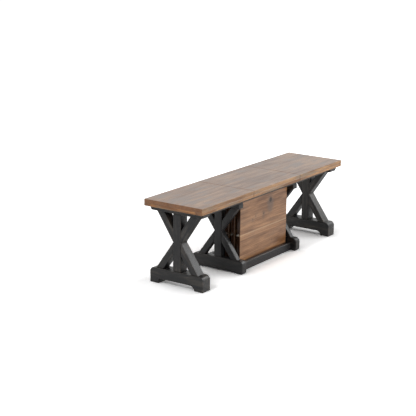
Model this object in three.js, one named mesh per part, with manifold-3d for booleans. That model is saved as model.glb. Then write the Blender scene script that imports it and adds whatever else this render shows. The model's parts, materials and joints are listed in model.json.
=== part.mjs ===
// An extending trestle bench, with one loose leaf in use and four more stored upright under the seat.
// Millimetres. X runs along the bench, Y from front to back, Z up. The origin is on the floor, midway along
// the bench and midway from front to back.
import * as THREE from 'three';
import { mergeVertices } from 'three/addons/utils/BufferGeometryUtils.js';
import Module from 'manifold-3d';

const wasm = await Module();
wasm.setup();

// Seat: boards of one thickness, thickened under their edges by glued strips
const benchDepth = 366;
const leafWidth = 485.5;
const endWidth = 485.5;
const boardThick = 21;
const stripThick = 15.6;
const stripWidth = 40;
const seamGap = 0.5;
const boardEase = 1.2;
const storedLeaves = 4;

// Pins that line the boards up, one in the left edge of each leaf and of the right end
const pinRadius = 6;
const pinReach = 18;
const pinEase = 1;
const pinRunningClearance = 0.5;

// Rack for the stored leaves, between the inner trestles
const rackEndGap = 10.5;
const standOffset = 12;
const rackFloorThick = 11;
const rackLift = 2;
const leafLiftRoom = 57.2;
const leafGap = 0.5;
const stopHeight = 27;
const frontStopWidth = 11.5;
const backStopWidth = 20;
const stretcherThick = 19;
const stretcherHeight = 45;
const stretcherEase = 1.5;

// Slides: a fixed rail front and back, grooved on both faces, with a tongued rail of each end beside it
const stripRailGap = 2;
const railLeafGap = 2;
const baseRailWidth = 18;
const sideRailWidth = 10;
const railHeight = 41.4;
const railLift = 1;
const railRunningGap = 0.5;
const railTopGap = 0.3;
const grooveDepth = 5;
const grooveHeight = 13;
const tongueClearance = 0.4;
const baseRailInset = 27;
const sideRailInset = 7;
const sideRailShort = 20;

// Outer trestles, which travel with the ends
const outerOverhang = 33.5;
const outer = {
  footThick: 69, footInset: 13.5, footHeight: 83.5, footRound: 25, footToe: 3,
  archHeight: 26.5, archRun: 30, padLength: 55.5,
  postWidth: 49, postThick: 61, strutThick: 57, strutWidth: 38, footStep: 35.5, cleatStep: 39,
  cleatThick: 69, cleatInset: 15, cleatHeight: 25.4, cleatChamferRise: 14, cleatChamferRun: 8, ease: 2,
};
const outerWaistShare = 0.502;

// Inner trestles, which stay where they are and carry the rack and the fixed rails
const inner = {
  footThick: 41, footInset: 16.5, footHeight: 74.5, footRound: 25, footToe: 12,
  archHeight: 8, archRun: 30, padLength: 43,
  postWidth: 45.5, postThick: 36, strutThick: 32, strutWidth: 35.5, footStep: 38.5, cleatStep: 11,
  cleatThick: 41, cleatInset: 45, cleatHeight: 30.5, cleatRound: 11, cleatToe: 2.5, ease: 2,
};
const innerWaistShare = 0.505;

// Glue line between the pieces of a trestle, and between a cleat and what lies on it
const jointGap = 0.3;

// Fineness of round shapes, and how far a cutting tool runs past a face
const cornerSteps = 5;
const pinSides = 16;
const overrun = 1;

// Heights worked up from the floor, through the rack and a stored leaf standing on its edge
const rackFloorTop = rackLift + rackFloorThick;
const boardUnderside = rackFloorTop + benchDepth + leafLiftRoom;
const seatHeight = boardUnderside + boardThick;
const stripUnderside = boardUnderside - stripThick;
const railTop = boardUnderside - railTopGap;
const sideRailBottom = railTop - railHeight;
const baseRailBottom = sideRailBottom - railLift;

// Places along the bench. The stand is set a little to the left, where the stored leaves have their pins.
const leafHalf = leafWidth / 2;
const endStart = leafHalf + seamGap;
const benchHalf = endStart + endWidth;
const innerFace = leafHalf + pinReach / 2 + rackEndGap;
const innerCentre = innerFace + inner.footThick / 2;
const outerCentre = benchHalf - outerOverhang - outer.footThick / 2;
const outerCleatFace = outerCentre - outer.cleatThick / 2;
const baseRailEnd = outerCleatFace - baseRailInset;
const sideRailEnd = outerCleatFace - sideRailInset;
const sideRailTail = baseRailEnd - sideRailShort + sideRailInset;

// Places from front to back, counted outwards from the middle
const depthHalf = benchDepth / 2;
const stripInside = depthHalf - stripWidth;
const outerRailOut = stripInside - stripRailGap;
const outerRailIn = outerRailOut - sideRailWidth;
const baseRailOut = outerRailIn - railRunningGap;
const baseRailIn = baseRailOut - baseRailWidth;
const innerRailOut = baseRailIn - railRunningGap;
const innerRailIn = innerRailOut - sideRailWidth;
const leafFront = innerRailIn - railLeafGap;
const leafPitch = boardThick + stripThick + leafGap;
const stretcherIn = leafFront + leafGap + frontStopWidth;
const stretcherOut = stretcherIn + stretcherThick;

const blackStain = new THREE.MeshStandardMaterial({ color: 0x2c2c2e, roughness: 0.62, metalness: 0 });
const seatWood = new THREE.MeshStandardMaterial({ color: 0xa3805f, roughness: 0.55, metalness: 0 });
const stripWood = new THREE.MeshStandardMaterial({ color: 0xb38d68, roughness: 0.58, metalness: 0 });
const railWood = new THREE.MeshStandardMaterial({ color: 0x3a3632, roughness: 0.6, metalness: 0 });

// Adds a named piece, with a material of its own, to the group that holds it
function addPiece(name, geometry, material, parent) {
  const mesh = new THREE.Mesh(geometry, material.clone());
  mesh.name = name;
  parent.add(mesh);
}

// Turns a geometry into a solid that can be joined and cut
function solidOf(geometry) {
  const bare = geometry.clone();
  bare.deleteAttribute('normal');
  bare.deleteAttribute('uv');
  const merged = mergeVertices(bare);
  return new wasm.Manifold(new wasm.Mesh({
    numProp: 3,
    vertProperties: new Float32Array(merged.attributes.position.array),
    triVerts: new Uint32Array(merged.index.array),
  }));
}

// Turns a solid back into a geometry
function geometryOf(solid) {
  const mesh = solid.getMesh();
  const geometry = new THREE.BufferGeometry();
  geometry.setAttribute('position', new THREE.BufferAttribute(mesh.vertProperties, 3));
  geometry.setIndex(new THREE.BufferAttribute(mesh.triVerts, 1));
  geometry.computeVertexNormals();
  return geometry;
}

// Cuts a tool out of a geometry
function cut(geometry, tool) {
  return geometryOf(solidOf(geometry).subtract(solidOf(tool)));
}

// Joins two geometries
function join(first, second) {
  return geometryOf(solidOf(first).add(solidOf(second)));
}

// Extrudes an outline by a thickness, both faces eased, centred on the plane of the outline
function easedExtrude(outline, thickness, ease) {
  const geometry = new THREE.ExtrudeGeometry(outline, {
    depth: thickness - 2 * ease, curveSegments: cornerSteps,
    bevelEnabled: true, bevelThickness: ease, bevelSize: ease, bevelOffset: -ease, bevelSegments: 1,
  });
  return geometry.translate(0, 0, ease - thickness / 2);
}

// Turns an outline drawn as front to back and up, extruded along the bench, into the bench's axes
function alongBench(geometry) {
  const basis = new THREE.Matrix4().makeBasis(
    new THREE.Vector3(0, 1, 0), new THREE.Vector3(0, 0, 1), new THREE.Vector3(1, 0, 0));
  return geometry.applyMatrix4(basis);
}

// A rectangle with its four corners cut off
function cutRectangle(width, height, corner) {
  const x = width / 2;
  const y = height / 2;
  return new THREE.Shape([
    [corner - x, -y], [x - corner, -y], [x, corner - y], [x, y - corner],
    [x - corner, y], [corner - x, y], [-x, y - corner], [-x, corner - y],
  ].map(([u, v]) => new THREE.Vector2(u, v)));
}

// A board with all its edges eased, given by its lowest and highest corner
function board(low, high, ease) {
  const size = high.map((value, axis) => value - low[axis]);
  const geometry = easedExtrude(cutRectangle(size[0], size[1], ease), size[2], ease);
  return geometry.translate(...high.map((value, axis) => (value + low[axis]) / 2));
}

// The same board on the back and, mirrored, on the front
function addFrontAndBack([backName, frontName], low, high, ease, material, parent) {
  addPiece(backName, board(low, high, ease), material, parent);
  const mirrored = board([low[0], -high[1], low[2]], [high[0], -low[1], high[2]], ease);
  addPiece(frontName, mirrored, material, parent);
}

const bench = new THREE.Group();
const base = new THREE.Group();
bench.add(base);
const stand = new THREE.Group();
stand.position.set(-standOffset, 0, 0);
base.add(stand);

// Glues a round pin into the left edge of a board, and the board closes round its inner end
function withPin(blank, edge, z) {
  const profile = [
    [0, -pinReach], [pinRadius - pinEase, -pinReach], [pinRadius, pinEase - pinReach],
    [pinRadius, overrun], [0, overrun],
  ].map(([radius, along]) => new THREE.Vector2(radius, along));
  const pin = new THREE.LatheGeometry(profile, pinSides);
  pin.rotateZ(-Math.PI / 2).translate(edge, 0, z);
  return join(blank, pin);
}

// Bores the hole for a pin into the right edge of a board
function withPinHole(blank, edge, z) {
  const radius = pinRadius + pinRunningClearance;
  const depth = pinReach + pinRunningClearance;
  const drill = new THREE.CylinderGeometry(radius, radius, depth + overrun, pinSides);
  drill.rotateZ(Math.PI / 2).translate(edge + (overrun - depth) / 2, 0, z);
  return cut(blank, drill);
}

// A leaf lying flat as in use: a board with a strip under each long edge, its underside at level zero
function addLeaf(name, stripNames, parent) {
  const leaf = new THREE.Group();
  parent.add(leaf);
  const middle = boardThick / 2;
  const blank = board([-leafHalf, -depthHalf, 0], [leafHalf, depthHalf, boardThick], boardEase);
  const drilled = withPinHole(blank, leafHalf, middle);
  addPiece(`${name}_board`, withPin(drilled, -leafHalf, middle), seatWood, leaf);
  addFrontAndBack(
    stripNames, [-leafHalf, stripInside, -stripThick], [leafHalf, depthHalf, 0],
    boardEase, stripWood, leaf);
  return leaf;
}

// The leaf in use lies between the two ends
const centreLeaf = addLeaf('centre_leaf', ['centre_leaf_back_strip', 'centre_leaf_front_strip'], base);
centreLeaf.position.set(0, 0, boardUnderside);

// The stored leaves stand on a long edge, their upper faces to the front
for (let count = 1; count <= storedLeaves; count += 1) {
  const name = `leaf_${count}`;
  const leaf = addLeaf(name, [`${name}_upper_strip`, `${name}_lower_strip`], bench);
  leaf.rotation.x = Math.PI / 2;
  const showFace = (count - 1) * leafPitch - leafFront;
  leaf.position.set(0, showFace + boardThick, rackFloorTop + depthHalf);
}

// Outline of a foot: round shoulders, and an arch between its two pads
function footOutline(trestle, half) {
  const { footHeight, footRound, footToe, archHeight, archRun, padLength } = trestle;
  const archEnd = half - padLength;
  const shape = new THREE.Shape();
  shape.moveTo(0, footHeight);
  shape.lineTo(footRound - half, footHeight);
  shape.absarc(footRound - half, footHeight - footRound, footRound, Math.PI / 2, Math.PI, false);
  shape.lineTo(-half, footToe);
  shape.absarc(footToe - half, footToe, footToe, Math.PI, 1.5 * Math.PI, false);
  shape.lineTo(-archEnd, 0);
  shape.absellipse(archRun - archEnd, 0, archRun, archHeight, Math.PI, Math.PI / 2, true);
  shape.lineTo(archEnd - archRun, archHeight);
  shape.absellipse(archEnd - archRun, 0, archRun, archHeight, Math.PI / 2, 0, true);
  shape.lineTo(half - footToe, 0);
  shape.absarc(half - footToe, footToe, footToe, 1.5 * Math.PI, 2 * Math.PI, false);
  shape.lineTo(half, footHeight - footRound);
  shape.absarc(half - footRound, footHeight - footRound, footRound, 0, Math.PI / 2, false);
  return shape;
}

// Outline of an outer cleat: a flat bar with its lower ends cut back
function outerCleatOutline(half, bottom, top) {
  const { cleatChamferRise, cleatChamferRun } = outer;
  return new THREE.Shape([
    [-half, top], [-half, bottom + cleatChamferRise], [cleatChamferRun - half, bottom],
    [half - cleatChamferRun, bottom], [half, bottom + cleatChamferRise], [half, top],
  ].map(([u, v]) => new THREE.Vector2(u, v)));
}

// Outline of an inner cleat: a deeper bar with round ends
function innerCleatOutline(half, bottom, top) {
  const { cleatRound, cleatToe } = inner;
  const shape = new THREE.Shape();
  shape.moveTo(cleatRound - half, top);
  shape.absarc(cleatRound - half, top - cleatRound, cleatRound, Math.PI / 2, Math.PI, false);
  shape.absarc(cleatToe - half, bottom + cleatToe, cleatToe, Math.PI, 1.5 * Math.PI, false);
  shape.lineTo(half - cleatToe, bottom);
  shape.absarc(half - cleatToe, bottom + cleatToe, cleatToe, 1.5 * Math.PI, 2 * Math.PI, false);
  shape.absarc(half - cleatRound, top - cleatRound, cleatRound, 0, Math.PI / 2, false);
  return shape;
}

// A sloping strut from the side of the post to a level face above or below, on the back half
function strutOutline(start, waist, reach, level, width) {
  const slope = Math.atan2(Math.abs(level - waist), reach - start);
  const along = width / Math.sin(slope);
  const down = Math.sign(level - waist) * width / Math.cos(slope);
  return [[start, waist], [reach, level], [reach - along, level], [start, waist + down]];
}

// Adds that strut on the back half and its mirror image on the front half
function addStruts([backName, frontName], points, thickness, ease, parent) {
  for (const [name, side] of [[backName, 1], [frontName, -1]]) {
    const corners = points.map(([u, v]) => new THREE.Vector2(side * u, v));
    const strut = alongBench(easedExtrude(new THREE.Shape(corners), thickness, ease));
    addPiece(name, strut, blackStain, parent);
  }
}

// A trestle: foot, post, four struts and cleat, drawn about its own middle
function addTrestle(name, trestle, outlineOfCleat, waistShare, cleatTop, parent) {
  const group = new THREE.Group();
  parent.add(group);
  const { footHeight, postWidth, postThick, strutThick, strutWidth, ease } = trestle;
  const footHalf = depthHalf - trestle.footInset;
  const cleatHalf = depthHalf - trestle.cleatInset;
  const cleatBottom = cleatTop - trestle.cleatHeight;
  const frameBottom = footHeight + jointGap;
  const frameTop = cleatBottom - jointGap;
  const waist = frameBottom + waistShare * (frameTop - frameBottom);
  const postSide = postWidth / 2;
  const strutStart = postSide + jointGap;
  const lower = strutOutline(
    strutStart, waist - jointGap / 2, footHalf - trestle.footStep, frameBottom, strutWidth);
  const upper = strutOutline(
    strutStart, waist + jointGap / 2, cleatHalf - trestle.cleatStep, frameTop, strutWidth);
  const foot = easedExtrude(footOutline(trestle, footHalf), trestle.footThick, ease);
  const cleat = easedExtrude(outlineOfCleat(cleatHalf, cleatBottom, cleatTop), trestle.cleatThick, ease);
  const post = board(
    [-postThick / 2, -postSide, frameBottom], [postThick / 2, postSide, frameTop], ease);
  addPiece(`${name}_foot`, alongBench(foot), blackStain, group);
  addPiece(`${name}_post`, post, blackStain, group);
  addStruts([`${name}_back_lower_strut`, `${name}_front_lower_strut`], lower, strutThick, ease, group);
  addStruts([`${name}_back_upper_strut`, `${name}_front_upper_strut`], upper, strutThick, ease, group);
  addPiece(`${name}_cleat`, alongBench(cleat), blackStain, group);
  return group;
}

// Rack: two stretchers between the inner feet, and a floor between them with a stop in front of the leaves
// and one behind
const stretcherTop = rackLift + stretcherHeight;
addFrontAndBack(
  ['back_stretcher', 'front_stretcher'],
  [-innerFace, stretcherIn, rackLift], [innerFace, stretcherOut, stretcherTop],
  stretcherEase, blackStain, stand);

function rackFloorOutline() {
  const stopTop = rackFloorTop + stopHeight;
  const frontStopIn = frontStopWidth - stretcherIn;
  const backStopIn = storedLeaves * leafPitch - leafFront;
  const backStopOut = backStopIn + backStopWidth;
  return new THREE.Shape([
    [-stretcherIn, rackLift], [stretcherIn, rackLift], [stretcherIn, rackFloorTop],
    [backStopOut, rackFloorTop], [backStopOut, stopTop], [backStopIn, stopTop], [backStopIn, rackFloorTop],
    [frontStopIn, rackFloorTop], [frontStopIn, stopTop], [-stretcherIn, stopTop],
  ].map(([u, v]) => new THREE.Vector2(u, v)));
}
const rackFloor = alongBench(easedExtrude(rackFloorOutline(), 2 * innerFace, boardEase));
addPiece('rack_floor', rackFloor, blackStain, stand);

// Cross-section of a fixed rail, grooved on both faces
function baseRailOutline() {
  const grooveLow = (baseRailBottom + railTop - grooveHeight) / 2;
  const grooveHigh = grooveLow + grooveHeight;
  return new THREE.Shape([
    [baseRailIn, baseRailBottom], [baseRailOut, baseRailBottom], [baseRailOut, grooveLow],
    [baseRailOut - grooveDepth, grooveLow], [baseRailOut - grooveDepth, grooveHigh],
    [baseRailOut, grooveHigh], [baseRailOut, railTop], [baseRailIn, railTop], [baseRailIn, grooveHigh],
    [baseRailIn + grooveDepth, grooveHigh], [baseRailIn + grooveDepth, grooveLow], [baseRailIn, grooveLow],
  ].map(([u, v]) => new THREE.Vector2(u, v)));
}

// Cross-section of a side rail, from the face that runs beside the fixed rail to its far face
function sideRailOutline(near, far) {
  const middle = (baseRailBottom + railTop) / 2;
  const half = grooveHeight / 2 - tongueClearance;
  const tip = near + Math.sign(near - far) * (grooveDepth + railRunningGap - tongueClearance);
  const points = [
    [near, sideRailBottom], [far, sideRailBottom], [far, railTop], [near, railTop],
    [near, middle + half], [tip, middle + half], [tip, middle - half], [near, middle - half],
  ];
  return new THREE.Shape(points.map(([u, v]) => new THREE.Vector2(u, v)));
}

// Extrudes a rail along the bench, on the back or mirrored on the front
function railFrom(outline, from, to, side) {
  const points = outline.getPoints().map((point) => new THREE.Vector2(side * point.x, point.y));
  const settings = { depth: to - from, bevelEnabled: false };
  const geometry = alongBench(new THREE.ExtrudeGeometry(new THREE.Shape(points), settings));
  return geometry.translate(from, 0, 0);
}

// Inner trestles, with the fixed rails on their cleats
for (const [name, along] of [['left_inner', -1], ['right_inner', 1]]) {
  const group = addTrestle(
    name, inner, innerCleatOutline, innerWaistShare, baseRailBottom - jointGap, stand);
  group.position.x = along * innerCentre;
}
for (const [place, side] of [['back', 1], ['front', -1]]) {
  const rail = railFrom(baseRailOutline(), -baseRailEnd, baseRailEnd, side);
  addPiece(`${place}_base_rail`, rail, railWood, stand);
}

// An end of the bench: board with strips under three edges, outer trestle, and the two rails of its lane.
// The lane is given by the rail's near and far face, and along is 1 for the right end and -1 for the left.
function addEnd(name, along, near, far, hasPin) {
  const end = new THREE.Group();
  bench.add(end);
  const placed = (from, to) => (along > 0 ? [from, to] : [-to, -from]);
  const [low, high] = placed(endStart, benchHalf);
  const [stripLow, stripHigh] = placed(benchHalf - stripWidth, benchHalf);
  const [railLow, railHigh] = placed(-sideRailTail, sideRailEnd);
  const middle = boardUnderside + boardThick / 2;

  const blank = board([low, -depthHalf, boardUnderside], [high, depthHalf, seatHeight], boardEase);
  const boardShape = hasPin ? withPin(blank, endStart, middle) : withPinHole(blank, -endStart, middle);
  addPiece(`${name}_board`, boardShape, seatWood, end);
  addFrontAndBack(
    [`${name}_back_strip`, `${name}_front_strip`],
    [low, stripInside, stripUnderside], [high, depthHalf, boardUnderside], boardEase, stripWood, end);
  const endStrip = board(
    [stripLow, -stripInside, stripUnderside], [stripHigh, stripInside, boardUnderside], boardEase);
  addPiece(`${name}_end_strip`, endStrip, stripWood, end);

  for (const [place, side] of [['back', 1], ['front', -1]]) {
    const rail = railFrom(sideRailOutline(near, far), railLow, railHigh, side);
    addPiece(`${name}_${place}_rail`, rail, railWood, end);
  }
  const group = addTrestle(
    `${name}_outer`, outer, outerCleatOutline, outerWaistShare, stripUnderside - jointGap, end);
  group.position.x = along * outerCentre;
}

addEnd('left', -1, outerRailIn, outerRailOut, false);
addEnd('right', 1, innerRailOut, innerRailIn, true);

export default bench;
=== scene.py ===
"""An extending trestle bench in black and brown stained wood, its spare leaves stored under the seat."""
import json
import math
from itertools import product

import bmesh
import bpy
from mathutils import Matrix, Vector, noise
from mathutils.kdtree import KDTree

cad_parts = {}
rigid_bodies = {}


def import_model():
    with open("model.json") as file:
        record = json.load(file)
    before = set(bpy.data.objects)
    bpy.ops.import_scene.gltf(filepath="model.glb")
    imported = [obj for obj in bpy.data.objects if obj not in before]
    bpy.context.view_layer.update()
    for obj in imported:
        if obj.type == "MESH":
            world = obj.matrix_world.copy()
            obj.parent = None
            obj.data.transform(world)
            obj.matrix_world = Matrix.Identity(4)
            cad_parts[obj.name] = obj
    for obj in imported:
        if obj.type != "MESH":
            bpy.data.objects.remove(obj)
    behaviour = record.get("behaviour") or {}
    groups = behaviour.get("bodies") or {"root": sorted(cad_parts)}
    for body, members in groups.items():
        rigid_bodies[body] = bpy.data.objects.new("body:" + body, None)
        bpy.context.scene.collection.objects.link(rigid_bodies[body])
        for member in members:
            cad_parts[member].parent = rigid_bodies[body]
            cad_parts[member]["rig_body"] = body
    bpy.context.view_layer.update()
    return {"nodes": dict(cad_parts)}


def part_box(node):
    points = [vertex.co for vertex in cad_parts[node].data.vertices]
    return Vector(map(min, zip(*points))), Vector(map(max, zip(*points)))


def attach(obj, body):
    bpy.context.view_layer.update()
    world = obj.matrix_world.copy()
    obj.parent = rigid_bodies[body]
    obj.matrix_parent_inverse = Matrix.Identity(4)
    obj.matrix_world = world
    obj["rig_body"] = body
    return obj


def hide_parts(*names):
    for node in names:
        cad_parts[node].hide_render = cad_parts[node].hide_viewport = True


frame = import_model()

# Outer trestles. One stands under each end and travels with it: a foot with an arch between its two pads,
# a post, four struts that butt on the post, and a cleat that is screwed to the board. All are planed
# hardwood with hand-eased arrises, brushed with a black stain that the grain shows through.
MM = 0.001


class Value:
    """An output of a shader node that can be used in sums as a number can."""

    def __init__(self, finish, socket):
        self.finish = finish
        self.socket = socket

    def math(self, operation, *terms):
        return self.finish.add("ShaderNodeMath", {"operation": operation}, dict(enumerate(terms)))

    def __add__(self, other):
        return self.math("ADD", self, other)

    def __sub__(self, other):
        return self.math("SUBTRACT", self, other)

    def __rsub__(self, other):
        return self.math("SUBTRACT", other, self)

    def __mul__(self, other):
        return self.math("MULTIPLY", self, other)

    def __truediv__(self, other):
        return self.math("DIVIDE", self, other)

    def __pow__(self, other):
        return self.math("POWER", self, other)

    def __gt__(self, other):
        return self.math("GREATER_THAN", self, other)

    def __abs__(self):
        return self.math("ABSOLUTE", self)

    __radd__ = __add__
    __rmul__ = __mul__

    def larger(self, other):
        return self.math("MAXIMUM", self, other)

    def ramp(self, start, end, low=0, high=1):
        """Goes smoothly from low to high as this goes from start to end."""
        settings = {"interpolation_type": "SMOOTHSTEP"}
        return self.finish.add("ShaderNodeMapRange", settings, {0: self, 1: start, 2: end, 3: low, 4: high})


class Finish:
    """A material or a sky in the making: nodes are added from numbers and other nodes' values."""

    def __init__(self, owner):
        self.owner = owner
        owner.use_nodes = True
        self.tree = owner.node_tree
        self.tree.nodes.clear()

    def add(self, kind, settings=None, inputs=None, output=0):
        node = self.tree.nodes.new(kind)
        for key, value in (settings or {}).items():
            setattr(node, key, value)
        for key, value in (inputs or {}).items():
            if isinstance(value, Value):
                self.tree.links.new(value.socket, node.inputs[key])
            else:
                node.inputs[key].default_value = value
        return Value(self, node.outputs[output])

    def split(self, point):
        return [self.add("ShaderNodeSeparateXYZ", None, {0: point}, output=axis) for axis in range(3)]

    def place(self):
        """The point in the piece's own axes, in metres: along the grain, across it, and out of the face."""
        return self.split(self.add("ShaderNodeTexCoord", output="Object"))

    def facing(self):
        """How squarely the surface faces along the grain, across it, and out of the face, from 0 to 1."""
        return [abs(part) for part in self.split(self.add("ShaderNodeTexCoord", output="Normal"))]

    def stored(self, name):
        """A number kept with the piece's mesh."""
        return self.add("ShaderNodeAttribute", {"attribute_name": name}, None, output="Fac")

    def cloud(self, x, y, z, detail=3.0, roughness=0.55):
        """Noise about 0.5, with a cell of one unit of the given coordinates."""
        point = self.add("ShaderNodeCombineXYZ", None, {0: x, 1: y, 2: z})
        inputs = {"Vector": point, "Scale": 1.0, "Detail": detail, "Roughness": roughness}
        return self.add("ShaderNodeTexNoise", None, inputs)

    def grain(self, lie, along, across, detail=3.0, roughness=0.55, sway=None):
        """Noise about 0.5 that is drawn out with the grain, by its cells to a metre along and across it.

        lie is the place along the grain, the number of the length of wood, and the place across it and out
        of the face. sway bends the grain sideways."""
        run, lot, y, z = lie
        sideways = y * across if sway is None else y * across + sway
        return self.cloud(run * along + lot, sideways, z * across, detail, roughness)

    def blend(self, share, first, second, mode="MIX"):
        """A colour between two colours, or one laid over the other in the given mode."""
        settings = {"data_type": "RGBA", "blend_type": mode}
        first, second = [(*c, 1) if isinstance(c, tuple) else c for c in (first, second)]
        return self.add("ShaderNodeMix", settings, {0: share, 6: first, 7: second}, output=2)

    def surface(self, colour, roughness, height, depth, **constants):
        """Ends the material in a Principled shader, with a bump of the given depth in metres."""
        normal = self.add("ShaderNodeBump", None, {"Height": height, "Distance": depth, "Strength": 1.0})
        inputs = {"Base Color": colour, "Roughness": roughness, "Normal": normal, **constants}
        return self.end(self.add("ShaderNodeBsdfPrincipled", None, inputs))

    def end(self, shader, kind="ShaderNodeOutputMaterial"):
        """Links the shader to the output, and gives back what was made."""
        self.tree.links.new(shader.socket, self.tree.nodes.new(kind).inputs["Surface"])
        return self.owner


# Fresh mesh is cut close to the ends of a piece and in even steps between, so that wear can change along it.
END_CUTS = [2.5 * MM, 7 * MM]
CELL = 28 * MM
# A cut goes through any corner that is nearer than this, and leaves no sliver beside it.
SLIVER = 0.05 * MM
SAME_POINT = 1e-6
FLAT_ANGLE = math.radians(1)
ARRIS_ANGLE = math.radians(30)
CREASE_ANGLE = math.radians(32)
# The share of an arris that is planed off as a round, and the steps in which its length is measured
ROUNDING_SHARE = 0.36
ARRIS_STEP = 3 * MM
# Wear reaches this many widths of the arris. Hollows and nicks are in cells to a metre, and a nick starts
# where its noise passes a level.
WEAR_REACH = 2.2
HOLLOW_CELLS = 22
NICK_CELLS = 90
NICK_SHARE = 0.8
NICK_START = 0.1
# Each length of wood has a number of its own, so that no two lengths have the same grain.
LOT_STEP = 7.31
lots = {}


def corners(bm):
    """The lowest and the highest corner of the box round a mesh."""
    return [Vector([pick(vert.co[axis] for vert in bm.verts) for axis in range(3)]) for pick in (min, max)]


def own_axes(bm, face):
    """A frame at the middle of a mesh: X along its longest straight edge, Z towards the given face."""
    longest = max(bm.edges, key=lambda edge: edge.calc_length())
    along = (longest.verts[1].co - longest.verts[0].co).normalized()
    along = along if along.dot(Vector((1, 1, 1))) > 0 else -along
    outward = Vector(face)
    across = outward.cross(along).normalized()
    turn = Matrix((along, across, outward)).transposed()
    turned = [turn.transposed() @ vert.co for vert in bm.verts]
    middle = [(min(p[axis] for p in turned) + max(p[axis] for p in turned)) / 2 for axis in range(3)]
    return Matrix.Translation(turn @ Vector(middle)) @ turn.to_4x4()


def arris_edges(bm):
    return [edge for edge in bm.edges if len(edge.link_faces) == 2 and edge.calc_face_angle() > ARRIS_ANGLE]


def points_along(edges):
    """Closely spaced points on the arrises, from which the distance to an arris is measured."""
    points = []
    for edge in edges:
        first, last = (vert.co for vert in edge.verts)
        count = max(1, round(edge.calc_length() / ARRIS_STEP))
        points += [first.lerp(last, step / count) for step in range(count + 1)]
    tree = KDTree(len(points))
    for index, point in enumerate(points):
        tree.insert(point, index)
    tree.balance()
    return tree


def cuts_between(low, high):
    """Places for cuts: close to both ends, and evenly spaced between."""
    count = max(1, round((high - low) / CELL))
    even = [low + (high - low) * step / count for step in range(1, count)]
    near = [place for cut in END_CUTS for place in (low + cut, high - cut)]
    clear = [place for place in even if low + 1.5 * END_CUTS[1] < place < high - 1.5 * END_CUTS[1]]
    return sorted(clear + [place for place in near if low < place < high])


def cut_up(bm):
    """Cuts a mesh crosswise along each of its axes."""
    for axis in range(3):
        low, high = (corner[axis] for corner in corners(bm))
        normal = Vector([float(axis == other) for other in range(3)])
        for place in cuts_between(low, high):
            geometry = bm.verts[:] + bm.edges[:] + bm.faces[:]
            bmesh.ops.bisect_plane(bm, geom=geometry, dist=SLIVER, plane_co=normal * place, plane_no=normal)


def worked(node, face, material, ease, wander, sawn_from=None):
    """A fresh piece in the place of a node: whole flat faces, round arrises, and hand-worked unevenness.

    ease is the width of the arris, and wander is how far a worn stretch of it may fall back. Pieces that are
    sawn from the same length of wood, named by sawn_from, share its grain."""
    bm = bmesh.new()
    bm.from_mesh(frame["nodes"][node].data)
    bmesh.ops.remove_doubles(bm, verts=bm.verts, dist=SAME_POINT)
    bmesh.ops.dissolve_limit(bm, angle_limit=FLAT_ANGLE, verts=bm.verts, edges=bm.edges)
    axes = own_axes(bm, face)
    bm.transform(axes.inverted())
    least, most = corners(bm)
    sharp = arris_edges(bm)
    arrises = points_along(sharp)
    bmesh.ops.bevel(bm, geom=sharp, offset=ROUNDING_SHARE * ease, segments=2, profile=0.5, affect="EDGES",
                    clamp_overlap=True)
    cut_up(bm)

    lot = LOT_STEP * (1 + lots.setdefault(sawn_from or node, len(lots)))
    shift = Vector((lot, 0, 0))
    bm.normal_update()
    distances = []
    moves = []
    for vert in bm.verts:
        gap = arrises.find(vert.co)[2]
        bite = max(0.0, 1 - gap / (WEAR_REACH * ease))
        hollow = max(0.0, noise.noise(vert.co * HOLLOW_CELLS + shift))
        nick = max(0.0, noise.noise(vert.co * NICK_CELLS + shift) - NICK_START)
        moves.append(-vert.normal * wander * bite * (hollow + NICK_SHARE * nick))
        distances.append(gap)
    for vert, move in zip(bm.verts, moves):
        place = vert.co + move
        vert.co = Vector([min(max(place[axis], least[axis]), most[axis]) for axis in range(3)])

    mesh = bpy.data.meshes.new(f"{node}_worked")
    bm.to_mesh(mesh)
    bm.free()
    start = axes.translation.dot(axes.col[0].to_3d())
    run = [start + vert.co.x for vert in mesh.vertices]
    for name, values in (("arris", distances), ("lot", [lot] * len(run)), ("run", run)):
        mesh.attributes.new(name, "FLOAT", "POINT").data.foreach_set("value", values)
    mesh.shade_smooth()
    mesh.set_sharp_from_angle(angle=CREASE_ANGLE)
    mesh.materials.append(material)
    piece = bpy.data.objects.new(f"{node}_worked", mesh)
    bpy.context.scene.collection.objects.link(piece)
    piece.matrix_world = axes
    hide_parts(node)
    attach(piece, frame["nodes"][node]["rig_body"])


# The width over which an arris is rubbed through, from worn bare to whole
STAIN_RUB = (1.6 * MM, 4.8 * MM)
STAIN_BLACK = (0.0050, 0.0052, 0.0060)
STAINED_WOOD = (0.078, 0.066, 0.054)
RUBBED_WOOD = (0.150, 0.128, 0.108)
FILLED_PORE = (0.006, 0.006, 0.007)


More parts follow.
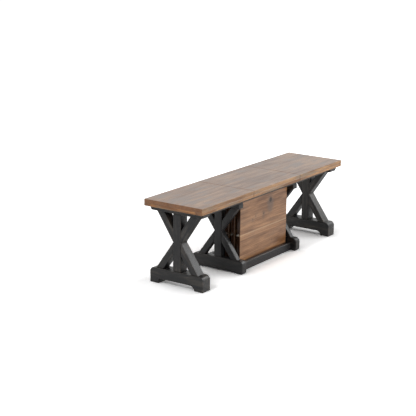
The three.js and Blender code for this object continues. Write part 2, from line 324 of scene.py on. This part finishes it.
def brushed_stain(name, strength):
    """Black stain wiped over open grain: streaks of brown grey along it, rubbed through at the arrises.

    strength is how much of the wood's own colour shows through."""
    stain = Finish(bpy.data.materials.new(name))
    x, y, z = stain.place()
    lot = stain.stored("lot")
    arris = stain.stored("arris")
    lie = (x, lot, y, z)
    drift = stain.grain(lie, along=5, across=16, detail=2.0)
    band = stain.grain(lie, along=3.6, across=75, roughness=0.6, sway=drift * 4)
    streak = stain.grain(lie, along=9, across=240, detail=4.0, roughness=0.62, sway=drift * 3)
    pore = stain.grain(lie, along=45, across=1100, detail=1.0).ramp(0.58, 0.68)
    patch = stain.grain(lie, along=8, across=24, detail=2.0)
    open_grain = band.ramp(0.45, 0.62) * 0.6 + streak.ramp(0.46, 0.64) * 0.4
    shown = open_grain * patch.ramp(0.36, 0.60, 0.10, 1.0) * strength
    body = stain.blend(shown, STAIN_BLACK, STAINED_WOOD)
    rubbed = (arris + streak * 0.004).ramp(*STAIN_RUB, 1.0, 0.0) * patch.ramp(0.38, 0.62)
    worn = stain.blend(rubbed * 0.6 * strength, body, RUBBED_WOOD)
    colour = stain.blend(pore * 0.55, worn, FILLED_PORE)
    roughness = open_grain * 0.10 + patch * 0.08 + 0.32
    height = streak * 0.5 - pore * 0.6
    return stain.surface(colour, roughness, height, 0.25 * MM, **{"Specular IOR Level": 0.52})


BLACK = brushed_stain("black_stain_brushed", strength=0.66)
TRESTLE_PIECES = ["foot", "post", "back_lower_strut", "front_lower_strut", "back_upper_strut",
                  "front_upper_strut", "cleat"]
FACE_X = (-1, 0, 0)
TRESTLE_EASE = 2 * MM
for trestle, part in product(["left_outer", "right_outer"], TRESTLE_PIECES):
    worked(f"{trestle}_{part}", FACE_X, BLACK, TRESTLE_EASE, wander=1.1 * MM)

# Inner trestles. The same seven pieces in lighter stock, with a much lower arch in the foot and round ends
# on a deeper cleat. They stay in place and carry the fixed rails and the rack. Their black is darker than
# the outer trestles': painted shade under the seat.
# Less of the wood shows through this black: painted shade under the seat, for the inner trestles and the
# rack.
SHADED_BLACK = brushed_stain("black_stain_shaded", strength=0.3)
for trestle, part in product(["left_inner", "right_inner"], TRESTLE_PIECES):
    worked(f"{trestle}_{part}", FACE_X, SHADED_BLACK, TRESTLE_EASE, wander=1.0 * MM)

# Rack. Two stretchers join the inner feet, and a floor between them carries the stored leaves on their
# edges, with a low stop in front of the leaves and one behind. Black stained as the trestles, in the
# darker black of the inner ones: painted shade under the seat.
FACE_UP = (0, 0, 1)
FACE_FRONT = (0, -1, 0)
for stretcher in ["front_stretcher", "back_stretcher"]:
    worked(stretcher, FACE_FRONT, SHADED_BLACK, ease=1.5 * MM, wander=0.8 * MM)
worked("rack_floor", FACE_UP, SHADED_BLACK, ease=1.2 * MM, wander=0.4 * MM)

# Rails. A fixed rail on each side lies on the inner cleats, grooved on both faces, and a tongued rail of
# each end runs beside it. Dark stained hardwood, waxed and left sharper than the trestles.
RAIL_EASE = 0.6 * MM
DARK_RAIL = (0.020, 0.015, 0.012)
RUBBED_RAIL = (0.052, 0.039, 0.030)


def waxed_rail(name):
    """Dark brown stained hardwood with a close grain and a rubbed wax shine."""
    wax = Finish(bpy.data.materials.new(name))
    x, y, z = wax.place()
    lie = (x, wax.stored("lot"), y, z)
    streak = wax.grain(lie, along=5, across=320, detail=4.0, roughness=0.6)
    patch = wax.grain(lie, along=4, across=30)
    colour = wax.blend(streak.ramp(0.35, 0.7), DARK_RAIL, RUBBED_RAIL)
    return wax.surface(colour, patch * 0.15 + 0.38, streak, 0.12 * MM)


WAXED = waxed_rail("rail_wood_waxed")
for rail in ["front_base_rail", "back_base_rail"]:
    worked(rail, FACE_UP, WAXED, RAIL_EASE, wander=0.0)
for end, side in product(["left", "right"], ["front", "back"]):
    worked(f"{end}_{side}_rail", FACE_UP, WAXED, RAIL_EASE, wander=0.0)

# Seat boards. Each end board and each leaf is two planks of knotty hardwood glued edge to edge, stained
# a greyish brown and lacquered. The grain runs along the bench.
BOARD_EASE = 0.8 * MM
BOARD_WANDER = 0.5 * MM
PLANK_SPREAD = 2.9
# The growth rings lie round a heart that runs beside the board, below its show face and slightly aslant.
RING_STEP = 4.6 * MM
HEART_ACROSS = 0.085
HEART_DEPTH = 0.045
HEART_SLOPE = 0.012
HEART_SWAY = 0.035
RING_RIPPLE = 0.003
KNOT_STRETCH = 1.1
# Set off from each other, so that clouds of the same kind don't fall on the same places
FIGURE_SHIFT = 3.0
SMOKE_SHIFT = 9.0
# From the middle of a board: where its joints with the next begin, and where its pin leaves the edge
JOINT_REACH = (0.229, 0.231)
PIN_ROOT = (-0.2346, -0.2341)
# Grime in the joints thickens from the middle of a board towards its back edge.
GRIME_WIDTH = (0.6 * MM, 2.2 * MM)
GRIME_SPREAD = (0.0, 0.08, 0.0, 0.12)
ARRIS_RUB = (1.2 * MM, 3.6 * MM)
GLUE_HALF = (0.3 * MM, 1.2 * MM)
SAPWOOD_AT = -6 * MM
SAPWOOD_HALF = (1.5 * MM, 5 * MM)
# Painted shade of the joint's gap: a dark tick across the edges where the right end meets the leaf.
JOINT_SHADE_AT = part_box("right_front_strip")[0][0]
JOINT_SHADE_HALF = (1.5 * MM, 3.5 * MM)
DARK_GROWTH = (0.150, 0.070, 0.028)
BROWN_GROWTH = (0.282, 0.158, 0.082)
PALE_GROWTH = (0.405, 0.243, 0.132)
GREY_SMOKE = (0.205, 0.160, 0.126)
END_GRAIN = (0.262, 0.143, 0.071)
GLUE_LINE = (0.085, 0.048, 0.028)
SAPWOOD = (0.55, 0.38, 0.23)
KNOT_STAIN = (0.092, 0.060, 0.043)
KNOT_HEART = (0.030, 0.018, 0.012)
PALE_ARRIS = (0.40, 0.29, 0.20)
DARK_PORE = (0.060, 0.034, 0.020)
GRIME_AND_JOINT_SHADE = (0.045, 0.026, 0.016)
PIN_GREY = (0.085, 0.074, 0.060)


def round_knots(knots, x, y, rings, ripple):
    """The rings as they bend round the knots, the hearts of the knots, and the stained wood below them."""
    core = None
    smear = None
    for along_at, across_at, size, shade in knots:
        u = (x - along_at) / KNOT_STRETCH
        v = y - across_at
        gap = (u * u + v * v) ** 0.5
        rings = rings + gap.ramp(0.0, size * 4.5, size * 1.3, 0.0)
        heart = (gap + ripple * size * 0.8).ramp(size * 0.55, size * 1.2, shade * 0.8 + 0.42, 0.0)
        below = (u * u * 0.6 + (v + size * 1.6) * (v + size * 1.6) * 0.22) ** 0.5
        stain = below.ramp(size * 0.7, size * 2.1, shade, 0.0)
        core = heart if core is None else core.larger(heart)
        smear = stain if smear is None else smear.larger(stain)
    return rings, core, smear


def lacquered(name, tints, knots=(), smoky=0.75, glue_streak=0.0, pinned=True):
    """Stained and lacquered flat-sawn boards.

    tints multiply the colour of the show face, the edge and the end grain: how the stain lies, and on the
    stored leaves painted shade as well. Each knot is its place along and across the grain, its size, and how
    far it darkens the wood below it. smoky is the strength of the grey clouds, and glue_streak is how pale
    the sapwood is beside the glue line. A pinned board has a dull grey pin where x is least."""
    wood = Finish(bpy.data.materials.new(name))
    x, y, z = wood.place()
    along_end, along_edge, out = wood.facing()
    lot = wood.stored("lot")
    run = wood.stored("run")
    arris = wood.stored("arris")
    plank = y > 0.0
    own = lot + plank * PLANK_SPREAD
    lie = (run, own, y, z)
    across = abs(y) - HEART_ACROSS
    wobble = wood.grain(lie, along=2.1, across=8, detail=2.0) - 0.5
    ripple = wood.grain(lie, along=12, across=45, detail=2.0) - 0.5
    depth = z + run * HEART_SLOPE + HEART_DEPTH + wobble * HEART_SWAY
    rings = (across * across + depth * depth) ** 0.5 + ripple * RING_RIPPLE
    rings, core, smear = round_knots(knots, x, y, rings, ripple)

    growth = wood.cloud(rings / RING_STEP, own, 0.0, detail=3.0, roughness=0.6)
    figure = wood.cloud(rings * 55, own + FIGURE_SHIFT, 0.0, detail=2.0)
    fibre = wood.grain(lie, along=8, across=380, roughness=0.65)
    line = wood.grain(lie, along=4, across=130, roughness=0.6)
    streak = wood.grain(lie, along=7, across=42)
    pore = wood.grain(lie, along=55, across=1300, detail=1.0).ramp(0.60, 0.70)
    patch = wood.grain(lie, along=2.6, across=7, detail=2.0)
    smoke = wood.cloud(run * 8 + own + SMOKE_SHIFT, y * 24, z * 24, detail=2.0).ramp(0.46, 0.70)

    tone = growth * 0.18 + figure * 0.24 + fibre * 0.22 + line * 0.52 + streak * 0.44 + patch * 0.44 - 0.52
    light = tone.ramp(0.30, 0.72)
    body = wood.blend(light.ramp(0.0, 0.55), DARK_GROWTH, BROWN_GROWTH)
    body = wood.blend(light.ramp(0.5, 1.0), body, PALE_GROWTH)
    body = wood.blend(smoke * smoky, body, GREY_SMOKE)
    body = wood.blend(along_end.ramp(0.4, 0.8) * 0.6, body, END_GRAIN)
    # On the stored leaves these tints are painted shade, darkest on the end faces.
    for squareness, tint in zip((out, along_edge, along_end), tints):
        body = wood.blend(squareness.ramp(0.4, 0.8), body, tint, mode="MULTIPLY")
    glue = abs(y).ramp(*GLUE_HALF, 0.25, 0.0) * out
    body = wood.blend(glue, body, GLUE_LINE)
    if glue_streak:
        pale_line = abs(y - SAPWOOD_AT).ramp(*SAPWOOD_HALF, glue_streak, 0.0)
        body = wood.blend(pale_line, body, SAPWOOD)
    if knots:
        body = wood.blend(smear * (line * 0.8 + 0.5), body, KNOT_STAIN)
        body = wood.blend(core * 0.92, body, KNOT_HEART)
    rubbed = (arris + fibre * 0.003).ramp(*ARRIS_RUB, 0.16, 0.0)
    body = wood.blend(rubbed, body, PALE_ARRIS)
    body = wood.blend(pore * 0.40, body, DARK_PORE)
    grime = arris.ramp(*GRIME_WIDTH, 1.0, 0.0) * abs(x).ramp(*JOINT_REACH) * y.ramp(*GRIME_SPREAD)
    # Painted shade of the joint's gap on the edges, laid on in the grime colour.
    joint_shade = abs(run - JOINT_SHADE_AT).ramp(*JOINT_SHADE_HALF, 0.85, 0.0) * along_edge
    colour = wood.blend(grime.larger(joint_shade), body, GRIME_AND_JOINT_SHADE)
    if pinned:
        colour = wood.blend(x.ramp(*PIN_ROOT, 1.0, 0.0), colour, PIN_GREY)
    roughness = fibre * 0.08 + growth * 0.05 + 0.24
    height = fibre * 0.35 + growth * 0.25 - pore * 0.7
    if knots:
        height = height - core * 1.6
        roughness = roughness + core * 0.15
    coat = {"Coat Weight": 0.06, "Coat Roughness": 0.14}
    return wood.surface(colour, roughness, height, 0.05 * MM, **coat)


END_KNOTS = {
    "left": [(0.135, 0.062, 0.005, 0.15), (-0.120, -0.105, 0.004, 0.12)],
    "right": [(-0.085, -0.062, 0.005, 0.15), (0.150, 0.092, 0.004, 0.12)],
}
SEAT_TINTS = [(0.79, 0.78, 0.83), (0.84, 0.80, 0.68), (0.86, 0.70, 0.58)]
for end, knots in END_KNOTS.items():
    finish = lacquered(f"seat_wood_{end}", SEAT_TINTS, knots, pinned=end == "right")
    worked(f"{end}_board", FACE_UP, finish, BOARD_EASE, BOARD_WANDER, sawn_from="seat_planks")

# Leaf in use. Its board lies on the rails between the two ends, with its strips outside them, and pins in
# the edges line it up. It is made and finished as the end boards are.
CENTRE_KNOTS = [(0.060, 0.070, 0.004, 0.12), (-0.150, -0.048, 0.004, 0.12)]
finish = lacquered("seat_wood_centre", SEAT_TINTS, CENTRE_KNOTS)
worked("centre_leaf_board", FACE_UP, finish, BOARD_EASE, BOARD_WANDER, sawn_from="seat_planks")

# Strips. They are glued flush under the edges of every board, so that its edge looks thick. The wood is
# the same, in straight-grained lengths coloured a little lighter, most of all on the end faces at the two
# ends.
STRIP_WANDER = 0.4 * MM
STRIP_TINTS = [(0.75, 0.69, 0.65), (0.90, 0.81, 0.64), (0.80, 0.66, 0.56)]
STRIP_FINISH = lacquered("strip_wood_straight", STRIP_TINTS, pinned=False)
END_STRIP_TINTS = [(0.75, 0.69, 0.65), (1.24, 0.99, 0.70), (0.80, 0.66, 0.56)]
END_STRIP_FINISH = lacquered("strip_wood_end", END_STRIP_TINTS, pinned=False)
for end, place in product(["left", "right"], ["front", "back", "end"]):
    finish = END_STRIP_FINISH if place == "end" else STRIP_FINISH
    length = f"{end}_end_length" if place == "end" else f"{place}_length"
    strip = f"{end}_{place}_strip"
    worked(strip, FACE_UP, finish, BOARD_EASE, STRIP_WANDER, sawn_from=length)
for place in ["front", "back"]:
    strip = f"centre_leaf_{place}_strip"
    worked(strip, FACE_UP, STRIP_FINISH, BOARD_EASE, STRIP_WANDER, sawn_from=f"{place}_length")

# Stored leaves. Four leaves like the one in use stand on their long edges in the rack. The first turns its
# show face to the front: a big knot, some small ones, and a pale streak beside the glue line. It is a little
# darker and warmer than the seat. The three behind it are darker still, as painted shade from the seat and
# the leaf in front, and the end faces of all four are near black, as painted shade between the leaves.
FRONT_KNOTS = [(0.075, 0.140, 0.0160, 0.80), (0.004, 0.074, 0.0064, 0.50), (-0.108, 0.065, 0.0042, 0.30),
               (-0.078, 0.076, 0.0038, 0.30), (0.098, -0.098, 0.0044, 0.25)]
# Darker tints on the leaves, and near black end faces: painted shade.
LEAF_TINTS_SHADED_ENDS = [(0.71, 0.62, 0.54), (0.56, 0.46, 0.38), (0.15, 0.10, 0.08)]
SHADED_STORED_TINTS = [(0.52, 0.44, 0.38), (0.42, 0.33, 0.27), (0.15, 0.10, 0.08)]
FRONT_LEAF_FINISH = lacquered("seat_wood_front_leaf", LEAF_TINTS_SHADED_ENDS, FRONT_KNOTS, smoky=0.2, glue_streak=0.42)
SHADED_STORED_FINISH = lacquered("seat_wood_stored_shaded", SHADED_STORED_TINTS, smoky=0.3)
SHADED_STORED_STRIP_FINISH = lacquered("strip_wood_stored_shaded", SHADED_STORED_TINTS, pinned=False)
for count in range(1, 5):
    finish = FRONT_LEAF_FINISH if count == 1 else SHADED_STORED_FINISH
    worked(f"leaf_{count}_board", FACE_FRONT, finish, BOARD_EASE, BOARD_WANDER)
    for place in ["upper", "lower"]:
        strip = f"leaf_{count}_{place}_strip"
        worked(strip, FACE_FRONT, SHADED_STORED_STRIP_FINISH, BOARD_EASE, STRIP_WANDER)

# Screws. Countersunk screws with a cross recess and a black oxide finish hold the sliding rails and the
# outer trestles to the boards. Their heads show only from below.
SCREW_RADIUS = 4 * MM
SCREW_PROUD = 0.3 * MM
SCREW_SUNK = 1.2 * MM
RECESS_DEPTH = 0.9 * MM
RECESS_ARM = 2.3 * MM
RECESS_HALF = 0.55 * MM
RIM_STEPS = 24
RAIL_SCREW_SHARES = [0.10, 0.38, 0.66, 0.94]
CLEAT_SCREW_OUT = 52 * MM
BLACK_OXIDE = (0.035, 0.034, 0.034)
RUBBED_STEEL = (0.14, 0.13, 0.12)
MM_IN_METRE = 1000


def oxide(name):
    """Black oxide on steel, rubbed a little brighter in patches by the driver."""
    steel = Finish(bpy.data.materials.new(name))
    x, y, z = [axis * MM_IN_METRE for axis in steel.place()]
    rub = steel.cloud(x * 0.9, y * 0.9, z * 0.9).ramp(0.4, 0.7)
    grit = steel.cloud(x * 5, y * 5, z * 5)
    colour = steel.blend(rub, BLACK_OXIDE, RUBBED_STEEL)
    return steel.surface(colour, rub * -0.12 + 0.5, grit, 0.03 * MM, Metallic=0.9)


OXIDE = oxide("screw_black_oxide")


def screw_heads(name, body, places):
    """Heads facing down, their rims at the given points of an underside."""
    bm = bmesh.new()
    quarter = [(RECESS_ARM, -RECESS_HALF), (RECESS_ARM, RECESS_HALF), (RECESS_HALF, RECESS_HALF)]
    quarter_turns = [(1, 0), (0, 1), (-1, 0), (0, -1)]
    cross = [(x * c - y * s, x * s + y * c) for c, s in quarter_turns for x, y in quarter]
    turns = [2 * math.pi * step / RIM_STEPS for step in range(RIM_STEPS)]
    rim = [(SCREW_RADIUS * math.cos(turn), SCREW_RADIUS * math.sin(turn)) for turn in turns]
    for px, py, pz in places:
        low, high = pz - SCREW_PROUD, pz + SCREW_SUNK
        loops = {}
        for key, points, height in (("crown", rim, low), ("back", rim, high), ("mouth", cross, low),
                                    ("floor", cross, low + RECESS_DEPTH)):
            loops[key] = [bm.verts.new((px + x, py + y, height)) for x, y in points]
        for first, last in (("crown", "back"), ("mouth", "floor")):
            count = len(loops[first])
            for i in range(count):
                j = (i + 1) % count
                bm.faces.new([loops[first][i], loops[first][j], loops[last][j], loops[last][i]])
        bm.faces.new(loops["back"])
        bm.faces.new(loops["floor"])
        edges = [bm.edges.get((ring[i - 1], ring[i])) for ring in (loops["crown"], loops["mouth"])
                 for i in range(len(ring))]
        bmesh.ops.triangle_fill(bm, use_beauty=True, use_dissolve=False, edges=edges)
    bmesh.ops.recalc_face_normals(bm, faces=bm.faces)
    mesh = bpy.data.meshes.new(name)
    bm.to_mesh(mesh)
    bm.free()
    mesh.materials.append(OXIDE)
    heads = bpy.data.objects.new(name, mesh)
    bpy.context.scene.collection.objects.link(heads)
    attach(heads, body)


for end, outward in (("left", -1), ("right", 1)):
    strip_low, strip_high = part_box(f"{end}_front_strip")
    seam = min(abs(strip_low[0]), abs(strip_high[0]))
    rail_places = []
    for side in ("front", "back"):
        low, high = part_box(f"{end}_{side}_rail")
        tail = max(outward * low[0], outward * high[0])
        middle = (low[1] + high[1]) / 2
        for share in RAIL_SCREW_SHARES:
            rail_places.append((outward * (seam + (tail - seam) * share), middle, low[2]))
    screw_heads(f"{end}_rail_screws", f"{end}_end", rail_places)
    low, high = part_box(f"{end}_outer_cleat")
    cleat_places = [((low[0] + high[0]) / 2, side * CLEAT_SCREW_OUT, low[2]) for side in (-1, 1)]
    screw_heads(f"{end}_cleat_screws", f"{end}_end", cleat_places)

# Studio. A white paper floor and a white surround. A wide soft lamp stands low in front, and weaker ones
# stand at the right, the left, behind and overhead. The lacquer mirrors only the one at the right. The
# camera stands to the front left. The floor glows far out, where it would otherwise fall short of white.
FLOOR_HALF = 40
FLOOR_MIRRORED = 0.05
GLOW_FROM = 0.9
GLOW_WHOLE = 2.8
GLOW = 0.8
SKY_LIGHT = 0.20


def white_ground(name, paper, exposed):
    """A paper floor that keeps shadows, and that a camera sees exposed to a clear white."""
    ground = Finish(bpy.data.materials.new(name))
    x, y = ground.place()[:2]
    reach = (x * x + y * y) ** 0.5
    seen = ground.add("ShaderNodeLightPath", output="Is Camera Ray")
    mirrored = ground.add("ShaderNodeLightPath", output="Is Glossy Ray") * FLOOR_MIRRORED
    colour = ground.blend(seen, (paper, paper, paper), (exposed, exposed, exposed))
    diffuse = ground.add("ShaderNodeBsdfDiffuse", None, {"Color": colour})
    glow = seen * reach.ramp(GLOW_FROM, GLOW_WHOLE, 0.0, GLOW) + mirrored
    emission = ground.add("ShaderNodeEmission", None, {"Strength": glow})
    return ground.end(ground.add("ShaderNodeAddShader", None, {0: diffuse, 1: emission}))


floor_corners = [(x * FLOOR_HALF, y * FLOOR_HALF, 0) for x, y in ((-1, -1), (1, -1), (1, 1), (-1, 1))]
floor_mesh = bpy.data.meshes.new("floor")
floor_mesh.from_pydata(floor_corners, [], [(0, 1, 2, 3)])
floor_mesh.materials.append(white_ground("floor_white", paper=0.82, exposed=1.40))
floor = bpy.data.objects.new("floor", floor_mesh)
bpy.context.scene.collection.objects.link(floor)

sky = Finish(bpy.data.worlds.new("studio"))
sky_seen = sky.add("ShaderNodeLightPath", output="Is Camera Ray").larger(
    sky.add("ShaderNodeLightPath", output="Is Glossy Ray"))
sky_strength = sky_seen * (1 - SKY_LIGHT) + SKY_LIGHT
backdrop = sky.add("ShaderNodeBackground", None, {"Color": (1, 1, 1, 1), "Strength": sky_strength})
bpy.context.scene.world = sky.end(backdrop, "ShaderNodeOutputWorld")


def soft_lamp(name, place, target, width, height, watts, mirrored=False):
    """A rectangular lamp that faces a point. One that isn't mirrored leaves no glare in the lacquer."""
    data = bpy.data.lights.new(name, "AREA")
    data.shape = "RECTANGLE"
    data.size, data.size_y = width, height
    data.energy = watts
    lamp = bpy.data.objects.new(name, data)
    bpy.context.scene.collection.objects.link(lamp)
    lamp.visible_glossy = mirrored
    lamp.location = place
    lamp.rotation_mode = "QUATERNION"
    lamp.rotation_quaternion = (Vector(target) - Vector(place)).to_track_quat("-Z", "Y")


LAMP_AIM = (0, 0, 0.25)
soft_lamp("right_lamp", (3.6, -2.2, 2.8), LAMP_AIM, width=3.6, height=1.5, watts=84, mirrored=True)
soft_lamp("front_lamp", (0.5, -4.7, 0.5), LAMP_AIM, width=3.2, height=1.0, watts=180)
soft_lamp("left_lamp", (-3.2, 0.0, 2.6), (0, 0, 0.3), width=1.6, height=0.8, watts=55)
soft_lamp("back_lamp", (0.0, 4.2, 1.2), (0, 0, 0.0), width=3.0, height=1.0, watts=115)
soft_lamp("overhead_lamp", (0.0, -0.17, 3.0), (0, -0.17, 0.3), width=2.4, height=0.3, watts=18)

CAMERA_PLACE = (-5.61033, -3.56448, 2.01497)
CAMERA_YAW = -0.97009
CAMERA_PITCH = -0.25536
CAMERA_ROLL = 0.01164
FOCAL_PIXELS = 1222.05
IMAGE_PIXELS = 416
SENSOR_WIDTH = 36
camera_data = bpy.data.cameras.new("camera")
camera_data.sensor_width = SENSOR_WIDTH
camera_data.lens = SENSOR_WIDTH * FOCAL_PIXELS / IMAGE_PIXELS
camera = bpy.data.objects.new("camera", camera_data)
bpy.context.scene.collection.objects.link(camera)
turned = Matrix.Rotation(CAMERA_YAW, 4, "Z")
tipped = Matrix.Rotation(math.pi / 2 + CAMERA_PITCH, 4, "X")
rolled = Matrix.Rotation(CAMERA_ROLL, 4, "Z")
camera.matrix_world = Matrix.Translation(CAMERA_PLACE) @ turned @ tipped @ rolled
bpy.context.scene.camera = camera
bpy.context.scene.view_settings.view_transform = "Standard"
